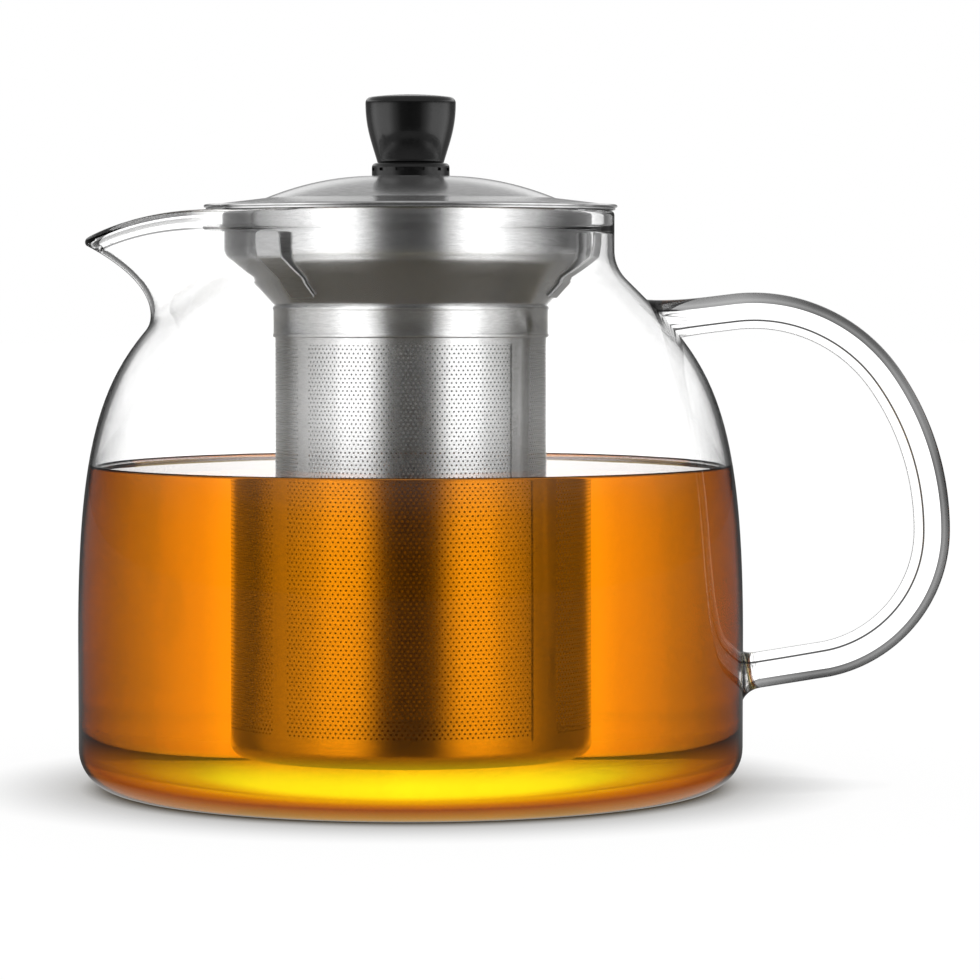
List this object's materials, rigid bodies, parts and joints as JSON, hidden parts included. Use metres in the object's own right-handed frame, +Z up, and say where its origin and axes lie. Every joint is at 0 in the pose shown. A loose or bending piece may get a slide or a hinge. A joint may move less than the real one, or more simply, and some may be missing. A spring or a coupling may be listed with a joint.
{
  "type": "glass teapot",
  "caption": "Round glass teapot with pulled spout, bent glass rod handle, lift-out steel strainer infuser and domed steel lid with black knob.",
  "frame": {"origin": "centre of the underside of the base, on the body's axis", "axes": "+Z up; +X towards the handle; -X towards the spout"},
  "size_m": [0.1742, 0.1328, 0.138],
  "materials": {
    "glass_body": "clear",
    "glass_rod": "clear",
    "infuser_steel": "brushed",
    "strainer_steel": "perforated, satin",
    "spring_steel": "polished",
    "lid_steel": "polished",
    "black_plastic": "satin",
    "gloss_black": "glossy",
    "brass": "machined",
    "screw_steel": "plain"
  },
  "bodies": {
    "pot_body": {"glass_vessel": "glass_body", "glass_handle": "glass_rod"},
    "infuser": {"infuser_collar": "infuser_steel", "collar_band": "infuser_steel", "strainer_tube": "strainer_steel", "strainer_base": "infuser_steel"},
    "clip_front": {"spring_clip_front": "spring_steel"},
    "clip_left": {"spring_clip_left": "spring_steel"},
    "clip_back": {"spring_clip_back": "spring_steel"},
    "lid": {"lid_shell": "lid_steel", "lid_skirt": "lid_steel", "knob_collar": "black_plastic", "knob": "gloss_black", "knob_insert": "brass", "knob_screw": "screw_steel", "screw_washer": "screw_steel"}
  },
  "joints": [
    {"name": "infuser_lift", "type": "slide", "parent": "pot_body", "child": "infuser", "axis": [0, 0, 1], "range_m": [0, 0.115]},
    {"name": "lid_lift", "type": "slide", "parent": "infuser", "child": "lid", "axis": [0, 0, 1], "range_m": [0, 0.05]},
    {"name": "clip_front_flex", "type": "hinge", "parent": "infuser", "child": "clip_front", "pos_m": [0.03016, -0.00808, 0.10013], "axis": [-0.2588, -0.9659, 0], "range_deg": [0, 3], "stiffness_Nm_per_rad": 1.5},
    {"name": "clip_left_flex", "type": "hinge", "parent": "infuser", "child": "clip_left", "pos_m": [-0.02208, -0.02208, 0.10013], "axis": [-0.7071, 0.7071, 0], "range_deg": [0, 3], "stiffness_Nm_per_rad": 1.5},
    {"name": "clip_back_flex", "type": "hinge", "parent": "infuser", "child": "clip_back", "pos_m": [-0.00808, 0.03016, 0.10013], "axis": [0.9659, 0.2588, 0], "range_deg": [0, 3], "stiffness_Nm_per_rad": 1.5}
  ]
}
